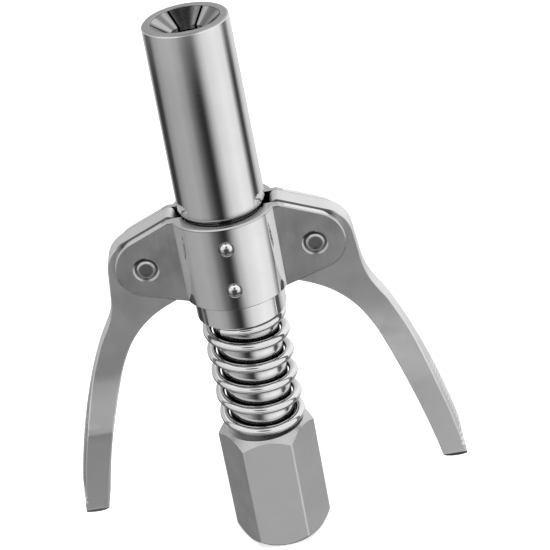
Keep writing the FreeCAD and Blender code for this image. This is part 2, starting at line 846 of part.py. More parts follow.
def make_jaw(index):
    """One jaw: a wedge whose front closes round the fitting, with a hooked tail."""
    front = z_nose - jaw_front_drop
    wedge_low = front - jaw_wedge_length
    body_radius = jaw_front_radius + jaw_wedge_length * jaw_taper
    lip_top = z_nose - funnel_drop
    lip_low = lip_top - grip_land
    tail_low = z_nose - jaw_tail_drop
    ring = turned([
        (jaw_front_radius, front),
        (body_radius, wedge_low),
        (body_radius, tail_low),
        (hook_radius, tail_low),
        (hook_radius, tail_low + hook_height),
        (pocket_radius, tail_low + hook_height),
        (pocket_radius, lip_low - pocket_roof),
        (grip_radius, lip_low),
        (grip_radius, lip_top),
    ])
    half_sector = math.pi / jaw_count
    apex = jaw_slit / 2 / math.sin(half_sector)
    reach = 2 * jaw_chamber_radius
    corners = [Vector(apex, 0, tail_low)]
    for side in (-1, 1):
        corners.append(Vector(
            apex + reach * math.cos(half_sector), side * reach * math.sin(half_sector), tail_low
        ))
    sector = Part.Face(Part.makePolygon(corners + corners[:1])).extrude(Vector(0, 0, jaw_tail_drop))
    jaw = ring.common(sector)
    jaw.rotate(Vector(0, 0, 0), axis_z, math.degrees(half_sector) * (2 * index + 1))
    return jaw


def make_jaw_carrier():
    """Sliding tube: hooks the jaws at its head, holds the seal piston, is tied to the bracket below."""
    top = z_nose - carrier_top_drop
    tail = z_nose - carrier_tail_drop
    groove_low = z_nose - jaw_tail_drop - groove_clearance
    groove_top = z_nose - jaw_tail_drop + hook_height + groove_clearance
    flange_low = groove_low - carrier_flange_height
    body = rod(carrier_radius, tail, flange_low)
    body = body.fuse(rod(carrier_flange_radius, flange_low, groove_low))
    body = body.fuse(rod(carrier_groove_radius, groove_low, groove_top))
    body = body.fuse(rod(carrier_neck_radius, groove_top, top)).removeSplitter()
    body = body.cut(rod(piston_bore_radius, z_nose - piston_bore_drop, top))
    body = body.cut(rod(carrier_passage_radius, tail, top))
    for drop in (upper_ring_drop, lower_ring_drop):
        middle = z_nose - drop
        half = o_ring_radius + ring_side_clearance
        floor = carrier_radius - 2 * o_ring_radius
        body = body.cut(tube(carrier_radius + overrun, floor, middle - half, middle + half))
    for height in (z_upper_dowel, z_lower_dowel):
        for near, far in ((-carrier_radius, -dowel_inner_radius), (dowel_inner_radius, carrier_radius)):
            body = body.cut(cross_rod(dowel_radius, 0, height, near, far))
    return body


def make_carrier_ring(drop):
    """O-ring in a groove of the jaw carrier."""
    return torus(carrier_radius - o_ring_radius, o_ring_radius, z_nose - drop)


def make_seal_holder():
    """Small piston that carries the nose seal in front and the check valve inside."""
    front = z_nose - holder_front_drop
    head_low = front - holder_head_height
    tail = front - holder_length
    body = rod(holder_head_radius, head_low, front).fuse(rod(holder_radius, tail, head_low))
    body = body.removeSplitter()
    body = body.cut(rod(seal_radius, front - seal_depth, front))
    body = body.cut(rod(seal_bore_radius, tail, front))
    body = body.cut(rod(check_chamber_radius, tail, z_check_chamber_top))
    body = body.cut(rod(check_seat_radius, tail, tail + check_seat_height))
    middle = head_low - holder_ring_drop
    half = holder_ring_radius + ring_side_clearance
    floor = holder_radius - 2 * holder_ring_radius
    return body.cut(tube(holder_radius + overrun, floor, middle - half, middle + half))


def make_holder_ring():
    """O-ring of the seal holder."""
    middle = z_nose - holder_front_drop - holder_head_height - holder_ring_drop
    return torus(holder_radius - holder_ring_radius, holder_ring_radius, middle)


def make_nose_seal():
    """Soft disc, dished round its hole, that the fitting is pressed against."""
    low = z_nose - holder_front_drop - seal_depth
    top = z_nose - holder_front_drop + seal_proud
    return turned([
        (seal_bore_radius, low),
        (seal_radius, low),
        (seal_radius, top),
        (seal_radius - seal_rim, top),
        (seal_bore_radius, top - seal_dish),
    ])


def make_check_seat():
    """Ring at the holder's lower end that the ball closes."""
    tail = z_nose - holder_front_drop - holder_length
    return tube(check_seat_radius, check_seat_bore, tail, tail + check_seat_height)


def make_check_ball():
    """Ball just above its seat."""
    return Part.makeSphere(check_ball_radius, Vector(0, 0, z_ball))


def make_seal_spring():
    """Spring behind the seal holder."""
    return wound_wire(
        z_nose - piston_bore_drop, z_nose - holder_front_drop - holder_length,
        seal_spring_coil, seal_spring_wire,
        seal_spring_turns, small_closed_turns, 2 * seal_spring_wire + small_closed_gap, 0,
    )


def make_check_spring():
    """Light spring that holds the ball on its seat."""
    return wound_wire(
        z_ball + check_ball_radius, z_check_chamber_top,
        check_spring_coil, check_spring_wire,
        check_spring_turns, small_closed_turns, 2 * check_spring_wire + small_closed_gap, 0,
    )


lever = make_lever()
lever_pin = make_lever_pin()
upper_dowel = make_dowel(z_upper_dowel)
lower_dowel = make_dowel(z_lower_dowel)

pieces = {
    "hex_adapter": make_hex_adapter(),
    "inlet_gasket": make_inlet_gasket(),
    "stem": make_stem(),
    "nose_sleeve": make_nose_sleeve(),
    "main_spring": make_main_spring(),
    "lever_bracket": make_lever_bracket(),
    "spring_collar": make_spring_collar(),
    "front_upper_dowel": upper_dowel,
    "front_lower_dowel": lower_dowel,
    "back_upper_dowel": back_copy(upper_dowel),
    "back_lower_dowel": back_copy(lower_dowel),
    "right_lever": lever,
    "left_lever": mirrored(lever),
    "right_lever_pin": lever_pin,
    "left_lever_pin": mirrored(lever_pin),
    "jaw_carrier": make_jaw_carrier(),
    "carrier_wiper_ring": make_carrier_ring(upper_ring_drop),
    "carrier_seal_ring": make_carrier_ring(lower_ring_drop),
    "seal_holder": make_seal_holder(),
    "holder_ring": make_holder_ring(),
    "nose_seal": make_nose_seal(),
    "check_seat": make_check_seat(),
    "check_ball": make_check_ball(),
    "check_spring": make_check_spring(),
    "seal_spring": make_seal_spring(),
}
for number in range(jaw_count):
    pieces["jaw_" + str(number + 1)] = make_jaw(number)

os.makedirs("parts", exist_ok=True)
for name, shape in pieces.items():
    shape.exportStep("parts/" + name + ".step")
    state = "valid" if shape.isValid() else "INVALID"
    print(name, len(shape.Solids), state, round(shape.Volume, 2))
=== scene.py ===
# Lock-on grease coupler: the finish of every piece round the fixed frame. Lengths are in metres.
# The camera stands where the photographer stood, the floor is plain and pale, and the light is soft.

import math

import bpy
from mathutils import Matrix, Vector


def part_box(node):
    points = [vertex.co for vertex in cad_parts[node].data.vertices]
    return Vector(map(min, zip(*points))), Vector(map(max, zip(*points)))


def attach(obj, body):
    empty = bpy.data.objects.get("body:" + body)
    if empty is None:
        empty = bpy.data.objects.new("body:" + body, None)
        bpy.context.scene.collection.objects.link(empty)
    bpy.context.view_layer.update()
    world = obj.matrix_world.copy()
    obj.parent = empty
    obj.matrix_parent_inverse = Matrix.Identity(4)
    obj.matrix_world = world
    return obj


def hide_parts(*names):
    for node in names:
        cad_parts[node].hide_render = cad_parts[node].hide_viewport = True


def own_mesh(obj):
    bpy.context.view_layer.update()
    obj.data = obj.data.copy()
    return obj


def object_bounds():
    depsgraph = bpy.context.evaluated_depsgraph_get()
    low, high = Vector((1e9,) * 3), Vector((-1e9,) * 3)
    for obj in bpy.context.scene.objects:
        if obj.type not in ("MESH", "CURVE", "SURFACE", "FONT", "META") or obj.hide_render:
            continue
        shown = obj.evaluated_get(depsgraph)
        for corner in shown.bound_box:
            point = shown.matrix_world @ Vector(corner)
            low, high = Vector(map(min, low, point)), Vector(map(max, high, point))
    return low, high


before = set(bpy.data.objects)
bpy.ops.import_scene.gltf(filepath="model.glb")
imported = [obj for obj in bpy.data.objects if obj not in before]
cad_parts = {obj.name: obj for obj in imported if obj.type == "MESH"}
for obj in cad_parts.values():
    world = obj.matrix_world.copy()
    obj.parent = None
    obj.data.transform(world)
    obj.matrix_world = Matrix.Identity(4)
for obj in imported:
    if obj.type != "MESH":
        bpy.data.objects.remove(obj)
cad_low, cad_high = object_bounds()

MM = 0.001

# Camera, from the photograph's perspective: focal length in its pixels, angles in radians
photo_side = 550
focal_pixels = 1864.73
camera_place = (22.879 * MM, -296.587 * MM, 217.390 * MM)
camera_elevation = 0.5011
camera_azimuth = 0.0535
camera_roll = -0.1865
sensor_width = 36.0
nearest_seen = 0.01

# Light tent seen by polished metal: degrees to the right of the viewer's side, and the brightness there
tent_floor = [
    (-180, 0.35), (-150, 0.10), (-115, 0.06), (-90, 0.20), (-60, 0.60), (-30, 0.85),
    (30, 0.90), (70, 0.75), (100, 0.28), (130, 0.24), (160, 0.28), (180, 0.35),
]
tent_low_walls = [
    (-180, 0.55), (-158, 0.50), (-146, 0.09), (-138, 0.05), (-124, 0.05), (-110, 0.32), (-90, 0.43),
    (-60, 0.46), (-40, 0.36), (-27, 0.17), (-16, 0.07), (-9, 0.035), (-2, 0.035), (4, 0.14), (10, 0.34),
    (17, 0.56), (28, 0.80), (60, 1.00), (86, 0.90), (97, 0.30), (104, 0.06), (114, 0.10), (122, 0.50),
    (134, 0.76), (152, 0.80), (180, 0.55),
]
tent_high_walls = [
    (-180, 0.72), (-150, 0.58), (-100, 0.75), (-60, 0.85), (-25, 0.90), (25, 0.95), (60, 0.95),
    (100, 1.00), (150, 1.05), (165, 0.95), (180, 0.72),
]
# The low walls' stripes lean: full turns for each unit of height, and the height they turn about
low_wall_lean = 0.20
low_wall_height = -0.48
# Heights where one ring of the tent passes into the next, from straight down (-1) to straight up (1)
ground_fade = (-0.84, -0.72)
floor_fade = (-0.66, -0.54)
wall_fade = (-0.37, -0.20)
lamp_fade = (0.62, 0.74)
roof_fade = (0.90, 0.95)
ground_level = 0.08
lamp_level = 1.05
roof_level = 0.05
# Dark place of the camera in the tent: cosines of the angle from it
camera_fade = (0.935, 0.985)
camera_shade = 0.12
# Even light on whatever isn't a mirror
soft_level = 0.60

# Floor and lamp
floor_reach = 3.0
floor_drop = 0.01 * MM
floor_grey = 0.82
floor_roughness = 0.9
floor_glow = 0.55
lamp_place = (0.1, -0.2, 0.7)
lamp_aim = (0, 0, 0.05)
lamp_side = 0.5
lamp_watts = 4.0

# Values of a noise between which the shared effects pass from nothing to full
grain_fade = (0.3, 0.7)
skin_fade = (0.25, 0.75)

# Hexagon, in millimetres
hex_height = 24.45
hex_corner_radius = 9.255
hex_chamfer = 1.75
hex_chamfer_blend = 0.1

# Where one finish passes into another, in millimetres
barrel_side = (8.88, 9.02)
nose_rim_depth = (0.30, 0.15)
# The dark middles of the pin faces and dowel domes are painted reflections
pin_face_radius = (1.29, 1.22)
dowel_dark_radius = (0.66, 0.38)
# How squarely a face lies to the part's Y axis, from the levers' worked edges to their flat sides
lever_side_facing = (0.70, 0.92)

# Painted shade on the bracket, in the recesses round the pins and dowels, on the top face under the sleeve
# and on the ears' bevels: where, in millimetres, and how strong
bracket_top_depth = (0.50, 0.35)
bracket_top_shade = 0.34
bevel_facing_low = (0.10, 0.20)
bevel_facing_high = (0.98, 0.94)
bevel_shade = 0.36
pin_gap_ring = (1.60, 2.08)
pin_gap_shade = 0.85
countersink_ring = (2.08, 2.40)
countersink_shade = 0.40
# Painted shadow, darkest at the upper left of each countersink: its ring, its direction, and cosines of
# the angle from there
countersink_dark_ring = (2.04, 2.40)
countersink_dark_way = (-0.42, 0.0, 0.91)
countersink_dark_angle = (0.76, 0.90)
dowel_ring = (0.0, 1.38)
dowel_shade = 0.80
ring_softness = 0.08

# Painted shade, and painted reflection bands on the jaws, on the other pieces: where, in millimetres, and
# how strong
sleeve_foot_height = (1.3, 0.5)
sleeve_foot_shade = 0.45
funnel_streak_count = 2.6
funnel_streak_fade = (0.38, 0.62)
funnel_band_shade = 0.60
lever_side_depth = (1.86, 1.94)
between_ears = (5.0, 3.6)
above_pivot = (2.5, 3.5)
tip_height = (1.9, 1.5)
tip_shade = 0.60

# Painted highlight where the levers thicken into the grips, on the front, in millimetres below the pivot
lever_ramp_start = 21.15
lever_ramp_end = 33.15
left_band_start = (lever_ramp_start - 2.0, lever_ramp_start + 7.0)
left_band_end = (lever_ramp_end + 0.2, lever_ramp_end - 0.4)
right_band_start = (11.0, 22.0)
right_band_end = (lever_ramp_end + 3.0, lever_ramp_end - 10.0)
right_grip_highlight = 0.50
band_highlight_tone = 0.97


def node(tree, kind, **settings):
    """New node of a kind, with its settings."""
    made = tree.nodes.new(kind)
    for name, value in settings.items():
        setattr(made, name, value)
    return made


def feed(tree, socket, value):
    """Joins an output to a socket, or sets a plain value on it."""
    if isinstance(value, bpy.types.NodeSocket):
        tree.links.new(value, socket)
    else:
        socket.default_value = value


def calculate(tree, operation, *values, clamp=False):
    """Math node fed by outputs or plain numbers; gives its output."""
    made = node(tree, "ShaderNodeMath", operation=operation, use_clamp=clamp)
    for socket, value in zip(made.inputs, values):
        feed(tree, socket, value)
    return made.outputs[0]


def multiply(tree, first, second):
    """Product of two values."""
    return calculate(tree, "MULTIPLY", first, second)


def vector_math(tree, operation, *values, output="Vector"):
    """Vector math node; gives one of its outputs."""
    made = node(tree, "ShaderNodeVectorMath", operation=operation)
    for socket, value in zip(made.inputs, values):
        feed(tree, socket, value)
    return made.outputs[output]


def spread(tree, value, low, high, new_low=0.0, new_high=1.0, smooth=False):
    """Maps low..high to new_low..new_high and stops at both ends."""
    kind = "SMOOTHSTEP" if smooth else "LINEAR"
    made = node(tree, "ShaderNodeMapRange", interpolation_type=kind)
    feed(tree, made.inputs["Value"], value)
    limits = (("From Min", low), ("From Max", high), ("To Min", new_low), ("To Max", new_high))
    for label, number in limits:
        feed(tree, made.inputs[label], number)
    return made.outputs["Result"]


def mix_grey(tree, factor, first, second):
    """Number between two numbers."""
    made = node(tree, "ShaderNodeMix", data_type="FLOAT")
    for label, value in (("Factor", factor), ("A", first), ("B", second)):
        feed(tree, made.inputs[label], value)
    return made.outputs["Result"]


def noise(tree, position, detail=3.0, roughness=0.55):
    """Noise of one unit size at a position; gives its value."""
    made = node(tree, "ShaderNodeTexNoise", noise_dimensions="3D")
    feed(tree, made.inputs["Vector"], position)
    made.inputs["Scale"].default_value = 1.0
    made.inputs["Detail"].default_value = detail
    made.inputs["Roughness"].default_value = roughness
    return made.outputs["Fac"]


def faded_noise(tree, position, fade, detail=3.0, smooth=False):
    """Noise that runs from nothing to full between two of its values."""
    return spread(tree, noise(tree, position, detail), *fade, smooth=smooth)


def split(tree, vector):
    """The three coordinates of a vector, by axis."""
    parts = node(tree, "ShaderNodeSeparateXYZ")
    feed(tree, parts.inputs[0], vector)
    return parts.outputs


def vector_of(tree, value):
    """Vector with the same number in all three places."""
    made = node(tree, "ShaderNodeCombineXYZ")
    for socket in made.inputs:
        feed(tree, socket, value)
    return made.outputs[0]


def in_units(tree, position, size):
    """Position counted in units of a size."""
    return vector_math(tree, "DIVIDE", position, vector_of(tree, size))


def across_axis(tree, position):
    """A position's place across the axis, without its height."""
    return vector_math(tree, "MULTIPLY", position, (1.0, 1.0, 0.0))


def from_axis(tree, position):
    """Distance of a position from the axis."""
    return vector_math(tree, "LENGTH", across_axis(tree, position), output="Value")


# Stage

def make_camera():
    """Camera at the photographer's place, turned and rolled as the photograph shows."""
    cos_up = math.cos(camera_elevation)
    forward = Vector((
        -math.sin(camera_azimuth) * cos_up,
        math.cos(camera_azimuth) * cos_up,
        -math.sin(camera_elevation),
    ))
    level_right = Vector((math.cos(camera_azimuth), math.sin(camera_azimuth), 0))
    level_down = forward.cross(level_right)
    right = level_right * math.cos(camera_roll) - level_down * math.sin(camera_roll)
    down = level_right * math.sin(camera_roll) + level_down * math.cos(camera_roll)
    data = bpy.data.cameras.new("camera")
    data.sensor_width = sensor_width
    data.lens = focal_pixels * sensor_width / photo_side
    data.clip_start = nearest_seen
    camera = bpy.data.objects.new("camera", data)
    turn = Matrix((right, -down, -forward)).transposed().to_4x4()
    turn.translation = camera_place
    camera.matrix_world = turn
    bpy.context.scene.collection.objects.link(camera)
    bpy.context.scene.camera = camera


def wall_ramp(tree, turn, walls):
    """Brightness of the tent's walls round the object; turn runs from 0 to 1."""
    made = node(tree, "ShaderNodeValToRGB")
    feed(tree, made.inputs["Fac"], turn)
    elements = made.color_ramp.elements
    while len(elements) < len(walls):
        elements.new(0.5)
    for element, (direction, level) in zip(elements, walls):
        element.position = direction / 360 + 0.5
        element.color = (level, level, level, 1)
    return made.outputs["Color"]


def make_world():
    """White for the camera, soft even light, and a light tent for polished metal."""
    world = bpy.data.worlds.new("studio")
    bpy.context.scene.world = world
    world.use_nodes = True
    tree = world.node_tree
    tree.nodes.clear()
    rays = node(tree, "ShaderNodeLightPath").outputs
    heading = node(tree, "ShaderNodeTexCoord").outputs["Generated"]
    across, along_y, height = split(tree, heading)
    angle = calculate(tree, "ARCTAN2", across, multiply(tree, along_y, -1.0))
    turn = calculate(tree, "MULTIPLY_ADD", angle, 1 / (2 * math.pi), 0.5)
    above = calculate(tree, "SUBTRACT", height, low_wall_height)
    leaning = calculate(tree, "MULTIPLY_ADD", above, -low_wall_lean, turn)
    camera_way = (Vector(camera_place) - (cad_low + cad_high) / 2).normalized()
    nearness = vector_math(tree, "DOT_PRODUCT", heading, tuple(camera_way), output="Value")
    level = ground_level
    for fade, ring_above in (
        (ground_fade, wall_ramp(tree, turn, tent_floor)),
        (floor_fade, wall_ramp(tree, leaning, tent_low_walls)),
        (wall_fade, wall_ramp(tree, turn, tent_high_walls)),
        (lamp_fade, lamp_level),
        (roof_fade, roof_level),
    ):
        level = mix_grey(tree, spread(tree, height, *fade), level, ring_above)
    level = mix_grey(tree, spread(tree, nearness, *camera_fade, smooth=True), level, camera_shade)
    lit = mix_grey(tree, rays["Is Glossy Ray"], soft_level, level)
    background = node(tree, "ShaderNodeBackground")
    feed(tree, background.inputs["Color"], mix_grey(tree, rays["Is Camera Ray"], lit, 1.0))
    output = node(tree, "ShaderNodeOutputWorld")
    feed(tree, output.inputs["Surface"], background.outputs[0])


def make_floor():
    """Plain pale floor that stays white round the object, keeps its shadow and is clear from below."""
    under = cad_low.z - floor_drop
    signs = ((-1, -1), (1, -1), (1, 1), (-1, 1))
    mesh = bpy.data.meshes.new("floor")
    mesh.from_pydata([(x * floor_reach, y * floor_reach, under) for x, y in signs], [], [(0, 1, 2, 3)])
    floor = bpy.data.objects.new("floor", mesh)
    bpy.context.scene.collection.objects.link(floor)
    material = bpy.data.materials.new("floor")
    material.use_nodes = True
    tree = material.node_tree
    shader = tree.nodes["Principled BSDF"]
    shader.inputs["Base Color"].default_value = (floor_grey, floor_grey, floor_grey, 1)
    shader.inputs["Roughness"].default_value = floor_roughness
    shader.inputs["Emission Color"].default_value = (1, 1, 1, 1)
    seen_by_camera = node(tree, "ShaderNodeLightPath").outputs["Is Camera Ray"]
    feed(tree, shader.inputs["Emission Strength"], multiply(tree, seen_by_camera, floor_glow))
    from_below = node(tree, "ShaderNodeNewGeometry").outputs["Backfacing"]
    feed(tree, shader.inputs["Alpha"], calculate(tree, "SUBTRACT", 1.0, from_below))
    mesh.materials.append(material)
    floor.visible_glossy = False


def make_lamp():
    """Square soft lamp above the object, which mirrors don't show."""
    data = bpy.data.lights.new("top_lamp", "AREA")
    data.size = lamp_side
    data.energy = lamp_watts
    lamp = bpy.data.objects.new("top_lamp", data)
    lamp.location = lamp_place
    heading = Vector(lamp_aim) - Vector(lamp_place)
    lamp.rotation_euler = heading.to_track_quat("-Z", "Y").to_euler()
    lamp.visible_glossy = False
    bpy.context.scene.collection.objects.link(lamp)


# Effects that several finishes share; positions are in millimetres

def new_group(name, inputs, outputs):
    """Shader group with named inputs and outputs; gives it with its two ends."""
    group = bpy.data.node_groups.new(name, "ShaderNodeTree")
    for label, default in inputs:
        kind = "NodeSocketVector" if isinstance(default, tuple) else "NodeSocketFloat"
        socket = group.interface.new_socket(name=label, in_out="INPUT", socket_type=kind)
        socket.default_value = default
    for label in outputs:
        group.interface.new_socket(name=label, in_out="OUTPUT", socket_type="NodeSocketFloat")
    return group, node(group, "NodeGroupInput").outputs, node(group, "NodeGroupOutput").inputs


def make_lathe_lines():
    """Fine lines left round the axis by turning and polishing."""
    group, given, result = new_group(
        "lathe_lines", [("Position", (0.0, 0.0, 0.0)), ("Spacing", 0.12)], ["Lines"]
    )
    across, along_y, height = split(group, given["Position"])
    radius = from_axis(group, given["Position"])
    angle = calculate(group, "ARCTAN2", along_y, across)
    lines = node(group, "ShaderNodeCombineXYZ")
    feed(group, lines.inputs["X"], calculate(group, "DIVIDE", radius, given["Spacing"]))
    feed(group, lines.inputs["Y"], calculate(group, "ABSOLUTE", angle))
    feed(group, lines.inputs["Z"], calculate(group, "DIVIDE", height, given["Spacing"]))
    feed(group, result["Lines"], faded_noise(group, lines.outputs[0], grain_fade))
    return group


def make_brushed_lines():
    """Straight grain; Grain is the size of one line along each direction."""
    group, given, result = new_group(
        "brushed_lines", [("Position", (0.0, 0.0, 0.0)), ("Grain", (0.1, 0.1, 4.0))], ["Lines"]
    )
    stretched = vector_math(group, "DIVIDE", given["Position"], given["Grain"])
    feed(group, result["Lines"], faded_noise(group, stretched, grain_fade))
    return group


def make_blasted_skin():
    """Fine dimples of a blasted and plated surface, over faint larger waves."""
    wave_share = 0.35
    group, given, result = new_group(
        "blasted_skin", [("Position", (0.0, 0.0, 0.0)), ("Grain", 0.16), ("Wave", 2.4)], ["Skin"]
    )
    fine, broad = [
        faded_noise(group, in_units(group, given["Position"], given[size]), skin_fade, detail=2.0)
        for size in ("Grain", "Wave")
    ]
    feed(group, result["Skin"], mix_grey(group, wave_share, fine, broad))
    return group


def make_handling():
    """Marks of use: broad faint patches and sparse hairline scratches in two directions."""
    patch_fade = (0.35, 0.68)
    scratch_fade = (0.72, 0.80)
    # How the scratches of each layer are turned, and the size of one along each direction
    scratch_layers = (
        ((0.3, 0.5, 0.9), (0.07, 3.5, 3.5)),
        ((1.1, 2.2, 0.4), (0.06, 5.0, 5.0)),
    )
    group, given, result = new_group(
        "handling", [("Position", (0.0, 0.0, 0.0)), ("Patch", 5.0)], ["Patches", "Scratches"]
    )
    broad = in_units(group, given["Position"], given["Patch"])
    feed(group, result["Patches"], faded_noise(group, broad, patch_fade, detail=4.0, smooth=True))
    layers = []
    for turn, size in scratch_layers:
        turned = node(group, "ShaderNodeMapping")
        feed(group, turned.inputs["Vector"], given["Position"])
        turned.inputs["Rotation"].default_value = turn
        stretched = vector_math(group, "DIVIDE", turned.outputs[0], size)
        layers.append(faded_noise(group, stretched, scratch_fade, detail=1.0))
    feed(group, result["Scratches"], calculate(group, "MAXIMUM", *layers))
    return group


def make_edge_wear():
    """Where an outer edge is rubbed bright; Radius is how far from the edge, in metres."""
    # How well the rounded and the true normal agree, from flat to edge
    edge_fade = (0.995, 0.80)
    rub_fade = (0.35, 0.60)
    group, given, result = new_group(
        "edge_wear", [("Position", (0.0, 0.0, 0.0)), ("Radius", 0.0003), ("Amount", 1.0)], ["Wear"]
    )
    rounded = node(group, "ShaderNodeBevel", samples=4)
    feed(group, rounded.inputs["Radius"], given["Radius"])
    face = node(group, "ShaderNodeNewGeometry").outputs["Normal"]
    agreement = vector_math(group, "DOT_PRODUCT", rounded.outputs[0], face, output="Value")
    edge = spread(group, agreement, *edge_fade)
    rubbed = multiply(group, edge, faded_noise(group, given["Position"], rub_fade, detail=4.0))
    feed(group, result["Wear"], calculate(group, "MULTIPLY", rubbed, given["Amount"], clamp=True))
    return group


def make_recess_grime():
    """Painted shade between close surfaces, broken up by noise; Reach is in metres, Start and Full say how
    open a place is.
    """
    broken_fade = (0.05, 0.32)
    inputs = [
        ("Position", (0.0, 0.0, 0.0)), ("Reach", 0.0012), ("Start", 0.85), ("Full", 0.25), ("Amount", 1.0),
    ]
    group, given, result = new_group("recess_shade_group", inputs, ["Grime"])
    openness = node(group, "ShaderNodeAmbientOcclusion", samples=12)
    feed(group, openness.inputs["Distance"], given["Reach"])
    closed = spread(group, openness.outputs["AO"], given["Start"], given["Full"])
    broken = multiply(group, closed, faded_noise(group, given["Position"], broken_fade, detail=4.0))
    feed(group, result["Grime"], calculate(group, "MULTIPLY", broken, given["Amount"], clamp=True))
    return group


lathe_lines = make_lathe_lines()
brushed_lines = make_brushed_lines()
blasted_skin = make_blasted_skin()
handling = make_handling()
edge_wear = make_edge_wear()
recess_shade_group = make_recess_grime()


def use_effect(tree, group, position, **values):
    """Puts a shared effect in a material with its own values; gives its outputs."""
    made = node(tree, "ShaderNodeGroup", node_tree=group)
    feed(tree, made.inputs["Position"], position)
    for label, value in values.items():
        made.inputs[label].default_value = value
    return made.outputs


# Materials

def start_material(name, centre=(0, 0, 0), turn=(0, 0, 0)):
    """New material with its shader, and a position in millimetres from a centre, turned to an axis."""
    material = bpy.data.materials.new(name)
    material.use_nodes = True
    tree = material.node_tree
    seat = node(tree, "ShaderNodeMapping", vector_type="TEXTURE")
    seat.inputs["Location"].default_value = centre
    seat.inputs["Rotation"].default_value = turn
    seat.inputs["Scale"].default_value = (MM, MM, MM)
    feed(tree, seat.inputs["Vector"], node(tree, "ShaderNodeTexCoord").outputs["Object"])
    return material, tree, tree.nodes["Principled BSDF"], seat.outputs[0]


def grey_colour(tree, shader, value):
    """Base colour from a grey level that changes over the surface."""
    colour = node(tree, "ShaderNodeCombineColor")
    for socket in colour.inputs:
        feed(tree, socket, value)
    feed(tree, shader.inputs["Base Color"], colour.outputs[0])


def relief(tree, shader, height):
    """Bump from a height in micrometres."""
    bump = node(tree, "ShaderNodeBump")
    bump.inputs["Strength"].default_value = 1.0
    bump.inputs["Distance"].default_value = 1e-6
    feed(tree, bump.inputs["Height"], height)
    feed(tree, shader.inputs["Normal"], bump.outputs[0])


def turned_finish(tone, roughness, spacing=0.12, depth=0.4):
    """Metal turned or polished round an axis: what makes its tone, roughness and height."""
    handled_tone = tone * 0.965
    smoothest = roughness * 0.80
    line_roughness = roughness * 0.30
    patch_roughness = roughness * 0.30
    scratch_roughness = 0.06

    def build(tree, position, marks):
        lines = use_effect(tree, lathe_lines, position, Spacing=spacing)["Lines"]
        clean = mix_grey(tree, marks["Patches"], tone, handled_tone)
        streaks = calculate(tree, "MULTIPLY_ADD", lines, line_roughness, smoothest)
        patched = calculate(tree, "MULTIPLY_ADD", marks["Patches"], patch_roughness, streaks)
        scratched = calculate(tree, "MULTIPLY_ADD", marks["Scratches"], scratch_roughness, patched)
        height = multiply(tree, calculate(tree, "SUBTRACT", lines, marks["Scratches"]), depth)
        return clean, scratched, height
    return build


def satin_finish(tone, roughness, grain=(0.12, 0.12, 3.0), depth=1.2):
    """Plated satin metal with straight grain over a blasted skin: its tone, roughness and height."""
    handled_tone = tone * 0.95
    smoothest = roughness * 0.90
    line_roughness = roughness * 0.10
    patch_roughness = roughness * 0.15
    line_height = 0.6

    def build(tree, position, marks):
        lines = use_effect(tree, brushed_lines, position, Grain=grain)["Lines"]
        skin = use_effect(tree, blasted_skin, position)["Skin"]
        clean = mix_grey(tree, marks["Patches"], tone, handled_tone)
        streaks = calculate(tree, "MULTIPLY_ADD", lines, line_roughness, smoothest)
        patched = calculate(tree, "MULTIPLY_ADD", marks["Patches"], patch_roughness, streaks)
        height = calculate(tree, "MULTIPLY_ADD", lines, line_height, skin)
        height = multiply(tree, calculate(tree, "SUBTRACT", height, marks["Scratches"]), depth)
        return clean, patched, height
    return build


def nowhere(tree, position):
    """Zone and painted shade of a piece that has none."""
    return None


def metal(
    name, finish, second=None, zone=nowhere, painted_darkening=nowhere, edge=0.0002, edge_gain=1.15,
    reach=0.0012, start=0.85, full=0.25, recess_shading=0.5, shade_factor=0.35, centre=(0, 0, 0), turn=(0, 0, 0),
):
    """Metal with one finish, or two that a zone parts, with rubbed edges and painted shade in its
    recesses.

    A piece's painted darkening is the share of painted shade in the open, the shade factor is how much of
    the tone shows through it, and edge and reach are in metres.
    """
    patch_size = 6.0
    brightest_tone = 0.95
    material, tree, shader, position = start_material(name, centre, turn)
    marks = use_effect(tree, handling, position, Patch=patch_size)
    tone, roughness, height = finish(tree, position, marks)
    share = zone(tree, position)
    if share is not None:
        other = second(tree, position, marks)
        tone, roughness, height = [
            mix_grey(tree, share, first, last) for first, last in zip((tone, roughness, height), other)
        ]
    wear = use_effect(tree, edge_wear, position, Radius=edge)["Wear"]
    rubbed = calculate(tree, "MINIMUM", multiply(tree, tone, edge_gain), brightest_tone)
    # Painted shade: the colour darkens where other surfaces close the piece in, and where its painted
    # darkening mask says
    recess = use_effect(tree, recess_shade_group, position, Reach=reach, Start=start, Full=full, Amount=recess_shading)
    dark = recess["Grime"]
    darkened_share = painted_darkening(tree, position)
    if darkened_share is not None:
        dark = calculate(tree, "MAXIMUM", dark, darkened_share)
    worn = mix_grey(tree, wear, tone, rubbed)
    grey_colour(tree, shader, mix_grey(tree, dark, worn, multiply(tree, tone, shade_factor)))
    feed(tree, shader.inputs["Roughness"], roughness)
    relief(tree, shader, height)
    shader.inputs["Metallic"].default_value = 1.0
    return material


def soft_material(name, colour, roughness, grain, depth=4.0):
    """Rubber or fibre with a fine moulded grain."""
    darkest = 0.85
    lightest = 1.15
    grain_roughness = 0.15
    material, tree, shader, position = start_material(name)
    skin = use_effect(tree, blasted_skin, position, Grain=grain)["Skin"]
    tint = node(tree, "ShaderNodeMix", data_type="RGBA")
    feed(tree, tint.inputs["Factor"], skin)
    for label, gain in (("A", darkest), ("B", lightest)):
        tint.inputs[label].default_value = tuple(part * gain for part in colour) + (1,)
    feed(tree, shader.inputs["Base Color"], tint.outputs["Result"])
    altered = calculate(tree, "MULTIPLY_ADD", skin, grain_roughness, roughness)
    feed(tree, shader.inputs["Roughness"], altered)
    relief(tree, shader, multiply(tree, skin, depth))
    return material


# Zones and stains, in millimetres of the part's frame

